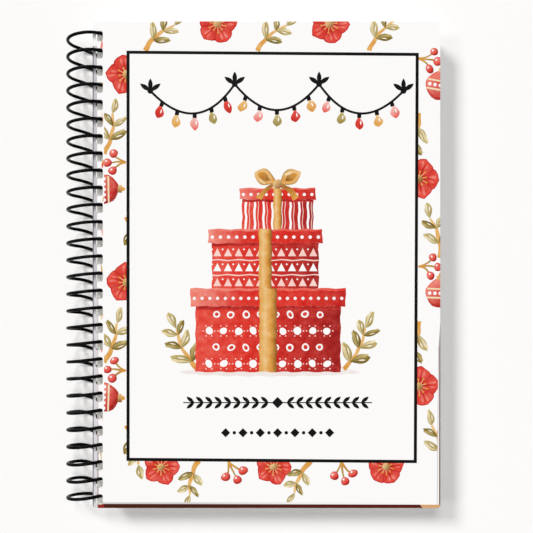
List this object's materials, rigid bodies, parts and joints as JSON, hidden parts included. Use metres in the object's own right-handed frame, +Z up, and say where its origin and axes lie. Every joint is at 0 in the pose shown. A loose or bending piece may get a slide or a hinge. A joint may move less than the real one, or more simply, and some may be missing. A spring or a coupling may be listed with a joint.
{
  "type": "gift card holder",
  "caption": "Spiral-bound book that holds gift cards: printed front cover, plain back cover, pages with glued card pockets, and a black plastic coil through punched holes.",
  "frame": {"origin": "on the table under the middle of the closed book's box", "axes": "+X from the bound edge to the fore edge, +Y along the spine to the head, +Z up from the table"},
  "size_m": [0.1378, 0.1778, 0.0162],
  "materials": {
    "cover_print": "smooth coated card, printed",
    "cover_card": "smooth coated card",
    "page_card": "uncoated card",
    "pocket_paper": "uncoated paper, glued flaps",
    "coil_plastic": "glossy black extruded filament"
  },
  "bodies": {
    "binding": {"back_cover": "cover_card", "binding_coil": "coil_plastic"},
    "leaf_6": {"page_6": "page_card", "pocket_6_upper": "pocket_paper", "pocket_6_lower": "pocket_paper"},
    "leaf_5": {"page_5": "page_card", "pocket_5_upper": "pocket_paper", "pocket_5_lower": "pocket_paper"},
    "leaf_4": {"page_4": "page_card", "pocket_4_upper": "pocket_paper", "pocket_4_lower": "pocket_paper"},
    "leaf_3": {"page_3": "page_card", "pocket_3_upper": "pocket_paper", "pocket_3_lower": "pocket_paper"},
    "leaf_2": {"page_2": "page_card", "pocket_2_upper": "pocket_paper", "pocket_2_lower": "pocket_paper"},
    "leaf_1": {"page_1": "page_card", "pocket_1_upper": "pocket_paper", "pocket_1_lower": "pocket_paper"},
    "front": {"front_cover": "cover_print"}
  },
  "joints": [
    {"name": "leaf_6_turn", "type": "hinge", "parent": "binding", "child": "leaf_6", "pos_m": [-0.06093, 0, 0.00818], "axis": [0, -1, 0], "range_deg": [0, 180]},
    {"name": "leaf_5_turn", "type": "hinge", "parent": "leaf_6", "child": "leaf_5", "pos_m": [-0.06093, 0, 0.00818], "axis": [0, -1, 0], "range_deg": [0, 180]},
    {"name": "leaf_4_turn", "type": "hinge", "parent": "leaf_5", "child": "leaf_4", "pos_m": [-0.06093, 0, 0.00818], "axis": [0, -1, 0], "range_deg": [0, 180]},
    {"name": "leaf_3_turn", "type": "hinge", "parent": "leaf_4", "child": "leaf_3", "pos_m": [-0.06093, 0, 0.00818], "axis": [0, -1, 0], "range_deg": [0, 180]},
    {"name": "leaf_2_turn", "type": "hinge", "parent": "leaf_3", "child": "leaf_2", "pos_m": [-0.06093, 0, 0.00818], "axis": [0, -1, 0], "range_deg": [0, 180]},
    {"name": "leaf_1_turn", "type": "hinge", "parent": "leaf_2", "child": "leaf_1", "pos_m": [-0.06093, 0, 0.00818], "axis": [0, -1, 0], "range_deg": [0, 180]},
    {"name": "front_cover_turn", "type": "hinge", "parent": "leaf_1", "child": "front", "pos_m": [-0.06093, 0, 0.00818], "axis": [0, -1, 0], "range_deg": [0, 180]}
  ]
}
